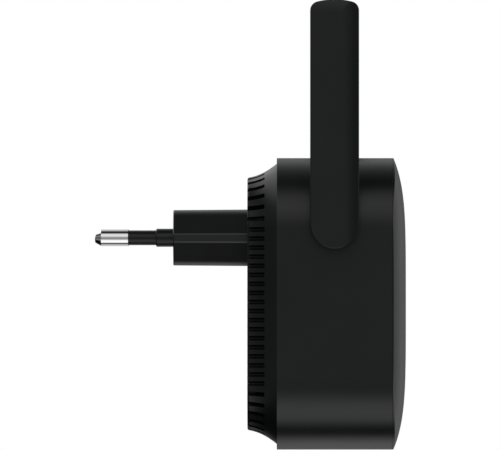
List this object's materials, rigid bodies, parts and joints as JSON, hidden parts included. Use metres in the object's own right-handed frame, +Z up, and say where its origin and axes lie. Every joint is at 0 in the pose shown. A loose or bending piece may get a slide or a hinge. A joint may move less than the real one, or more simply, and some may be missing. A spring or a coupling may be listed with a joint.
{
  "type": "wifi range extender",
  "caption": "Plug-in wifi range extender: rounded body with domed front, slotted flared rear cover, two-pin plug and fold-down side antennas.",
  "frame": {"origin": "centre of the plug's engagement face, midway between the pins", "axes": "+Y runs into the wall socket along the pins, -Y is the front, +Z is up and -X is the left side"},
  "size_m": [0.0704, 0.0754, 0.1088],
  "materials": {
    "shell_black": "fine moulded texture, satin",
    "front_black": "fine moulded texture, satin",
    "rear_black": "moulded, matte",
    "antenna_black": "fine moulded texture, satin",
    "plug_black": "moulded, satin",
    "sleeve_black": "smooth insulation",
    "pin_nickel": "nickel plated, polished",
    "spring_bronze": "rolled strip",
    "hinge_steel": "turned",
    "screw_steel": "zinc plated",
    "board_green": "solder mask",
    "board_black": "solder mask",
    "chip_black": "moulded epoxy",
    "ferrite_grey": "sintered",
    "winding_tape": "polyester tape",
    "capacitor_sleeve": "shrink sleeve",
    "ceramic_blue": "epoxy dipped",
    "fuse_brown": "moulded",
    "header_black": "moulded with tinned pins",
    "tray_grey": "moulded, matte",
    "pad_grey": "silicone pad",
    "spreader_aluminium": "stamped",
    "shield_tin": "tin plated",
    "crystal_can": "plated lid",
    "led_clear": "clear epoxy",
    "guide_smoke": "smoked clear plastic",
    "switch_black": "moulded",
    "plunger_grey": "moulded",
    "coax_jacket": "extruded jacket",
    "coax_gold": "gold plated"
  },
  "bodies": {
    "housing": {"front_cover": "front_black", "light_guide": "guide_smoke", "main_shell": "shell_black", "rear_cover": "rear_black", "plug_body": "plug_black", "plug_pin_left": "pin_nickel", "plug_pin_right": "pin_nickel", "pin_sleeve_left": "sleeve_black", "pin_sleeve_right": "sleeve_black", "mains_contact_left": "spring_bronze", "mains_contact_right": "spring_bronze", "power_board": "board_green", "transformer_core": "ferrite_grey", "transformer_winding": "winding_tape", "bulk_capacitors": "capacitor_sleeve", "output_capacitor": "capacitor_sleeve", "fuse": "fuse_brown", "y_capacitor": "ceramic_blue", "bridge_rectifier": "chip_black", "optocoupler": "chip_black", "output_diode": "chip_black", "power_controller": "chip_black", "board_connector": "header_black", "carrier_tray": "tray_grey", "main_board": "board_green", "wifi_chip": "chip_black", "thermal_pad": "pad_grey", "heat_spreader": "spreader_aluminium", "rf_shield": "shield_tin", "flash_chip": "chip_black", "crystal": "crystal_can", "status_led": "led_clear", "reset_switch": "switch_black", "case_screws": "screw_steel", "board_screws": "screw_steel", "friction_washer_left": "hinge_steel", "friction_washer_right": "hinge_steel", "coax_lead_left": "coax_jacket", "coax_lead_right": "coax_jacket", "coax_connector_left": "coax_gold", "coax_connector_right": "coax_gold"},
    "antenna_left": {"antenna_cover_left": "antenna_black", "antenna_base_left": "antenna_black", "hinge_barrel_left": "hinge_steel", "retaining_clip_left": "hinge_steel", "antenna_element_left": "board_black", "antenna_coax_left": "coax_jacket"},
    "antenna_right": {"antenna_cover_right": "antenna_black", "antenna_base_right": "antenna_black", "hinge_barrel_right": "hinge_steel", "retaining_clip_right": "hinge_steel", "antenna_element_right": "board_black", "antenna_coax_right": "coax_jacket"},
    "reset_plunger": {"reset_plunger": "plunger_grey"}
  },
  "joints": [
    {"name": "antenna_left_hinge", "type": "hinge", "parent": "housing", "child": "antenna_left", "pos_m": [-0.03, -0.0391, 0.00325], "axis": [1, 0, 0], "range_deg": [0, 180]},
    {"name": "antenna_right_hinge", "type": "hinge", "parent": "housing", "child": "antenna_right", "pos_m": [0.03, -0.0391, 0.00325], "axis": [1, 0, 0], "range_deg": [0, 180]},
    {"name": "reset_press", "type": "slide", "parent": "housing", "child": "reset_plunger", "axis": [0, 0, 1], "range_m": [0, 0.00035], "stiffness_N_per_m": 3000}
  ]
}
